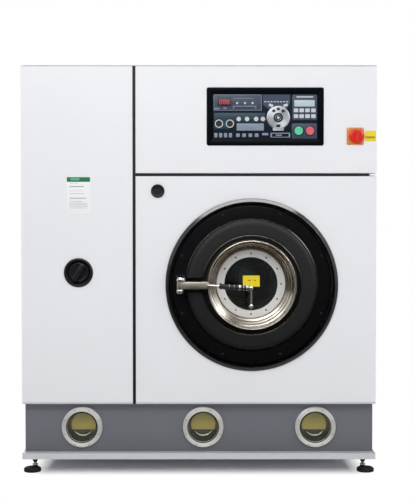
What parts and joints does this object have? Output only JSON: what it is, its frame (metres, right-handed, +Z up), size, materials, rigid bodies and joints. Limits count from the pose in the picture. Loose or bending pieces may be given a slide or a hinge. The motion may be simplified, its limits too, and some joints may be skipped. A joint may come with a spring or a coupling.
{
  "type": "dry cleaning machine",
  "caption": "Front-loading dry cleaning machine: white cabinet on a grey solvent tank with sight glasses, dished round loading door, service door, control panel and levelling feet.",
  "frame": {"origin": "centre of the bounding box on the floor, under the feet", "axes": "+Z up, the front with the doors faces -Y, +X to the right seen from the front"},
  "size_m": [1.65, 1.197, 1.9],
  "materials": {
    "white_paint": "smooth satin powder coat",
    "tank_paint": "smooth satin paint",
    "tray_paint": "satin paint",
    "foot_rubber": "matte",
    "seal_rubber": "matte",
    "belt_rubber": "matte",
    "grip_rubber": "ribbed, satin",
    "machined_steel": "brushed",
    "polished_steel": "spun and polished",
    "chrome": "polished",
    "cast_grey": "painted casting",
    "motor_paint": "painted casting",
    "black_plastic": "satin moulded",
    "black_gloss": "gloss",
    "cover_grey": "satin",
    "screen_film": "printed film under gloss",
    "green_key": "satin moulded",
    "red_key": "satin moulded",
    "switch_yellow": "satin moulded",
    "switch_red": "satin moulded",
    "sight_glass": "clear, polished",
    "window_glass": "clear, polished"
  },
  "bodies": {
    "root": {"left_side_panel": "white_paint", "right_side_panel": "white_paint", "top_panel": "white_paint", "deck_panel": "white_paint", "rear_panel": "white_paint", "partition_panel": "white_paint", "cross_rail": "white_paint", "control_panel": "white_paint", "drip_tray": "tray_paint", "solvent_tank": "tank_paint", "tank_front": "tank_paint", "foot_front_left": "foot_rubber", "foot_front_right": "foot_rubber", "foot_rear_left": "foot_rubber", "foot_rear_right": "foot_rubber", "sight_flange_left": "machined_steel", "sight_glass_left": "sight_glass", "sight_flange_middle": "machined_steel", "sight_glass_middle": "sight_glass", "sight_flange_right": "machined_steel", "sight_glass_right": "sight_glass", "vertical_seal": "seal_rubber", "horizontal_seal": "seal_rubber", "display_housing": "black_gloss", "display_screen": "screen_film", "switch_plate": "switch_yellow", "front_ring": "black_gloss", "cover_ring": "cover_grey", "port_seal": "seal_rubber", "hinge_bracket": "chrome", "hinge_pin": "chrome", "tub": "machined_steel", "tub_cradle": "cast_grey", "bearing_housing": "cast_grey", "drive_belt": "belt_rubber", "drive_motor": "motor_paint", "fan_housing": "machined_steel", "still_vessel": "machined_steel", "solvent_filter": "machined_steel", "solvent_pump": "motor_paint", "filter_pipe": "machined_steel"},
    "left_door": {"left_door": "white_paint", "latch_cup": "black_plastic"},
    "latch_handle": {"latch_handle": "black_plastic"},
    "front_panel": {"front_panel": "white_paint", "trim_ring": "black_gloss"},
    "panel_lock": {"panel_lock": "black_plastic"},
    "loading_door": {"door_dish": "polished_steel", "window_ring": "machined_steel", "window_glass": "window_glass", "door_arm": "machined_steel", "door_grip": "grip_rubber"},
    "release_lever": {"release_lever": "chrome"},
    "drum": {"drum": "polished_steel", "drum_pulley": "cast_grey"},
    "motor_rotor": {"motor_pulley": "cast_grey"},
    "fan": {"fan_impeller": "machined_steel"},
    "switch_handle": {"switch_handle": "switch_red"},
    "start_button": {"start_button": "green_key"},
    "stop_button": {"stop_button": "red_key"}
  },
  "joints": [
    {"name": "left_door_hinge", "type": "hinge", "parent": "root", "child": "left_door", "pos_m": [-0.807, -0.5025, 0.9], "axis": [0, 0, -1], "range_deg": [0, 110]},
    {"name": "latch_turn", "type": "hinge", "parent": "left_door", "child": "latch_handle", "pos_m": [-0.56, -0.5215, 0.938], "axis": [0, 1, 0], "range_deg": [0, 90]},
    {"name": "front_panel_hinge", "type": "hinge", "parent": "root", "child": "front_panel", "pos_m": [0.807, -0.5025, 0.9], "axis": [0, 0, 1], "range_deg": [0, 100]},
    {"name": "panel_lock_turn", "type": "hinge", "parent": "front_panel", "child": "panel_lock", "pos_m": [-0.191, -0.5215, 1.317], "axis": [0, 1, 0], "range_deg": [0, 90]},
    {"name": "loading_door_hinge", "type": "hinge", "parent": "root", "child": "loading_door", "pos_m": [-0.087, -0.5835, 0.881], "axis": [0, 0, -1], "range_deg": [0, 120]},
    {"name": "release_lever_pivot", "type": "hinge", "parent": "loading_door", "child": "release_lever", "pos_m": [0.241, -0.5835, 0.86916], "axis": [0, -1, 0], "range_deg": [0, 50]},
    {"name": "drum_spin", "type": "hinge", "parent": "root", "child": "drum", "pos_m": [0.246, 0.0785, 0.881], "axis": [0, 1, 0], "continuous": true},
    {"name": "motor_spin", "type": "hinge", "parent": "root", "child": "motor_rotor", "pos_m": [0.56, 0.2785, 0.47], "axis": [0, 1, 0], "continuous": true},
    {"name": "fan_spin", "type": "hinge", "parent": "root", "child": "fan", "pos_m": [0.33, -0.1215, 1.625], "axis": [0, 1, 0], "continuous": true},
    {"name": "main_switch_turn", "type": "hinge", "parent": "root", "child": "switch_handle", "pos_m": [0.73, -0.5215, 1.571], "axis": [0, 1, 0], "range_deg": [0, 90]},
    {"name": "start_press", "type": "slide", "parent": "root", "child": "start_button", "axis": [0, 1, 0], "range_m": [0, 0.003], "stiffness_N_per_m": 600},
    {"name": "stop_press", "type": "slide", "parent": "root", "child": "stop_button", "axis": [0, 1, 0], "range_m": [0, 0.003], "stiffness_N_per_m": 600}
  ],
  "couplings": [
    {"joint": "motor_spin", "follows": "drum_spin", "ratio": 5.4337}
  ]
}
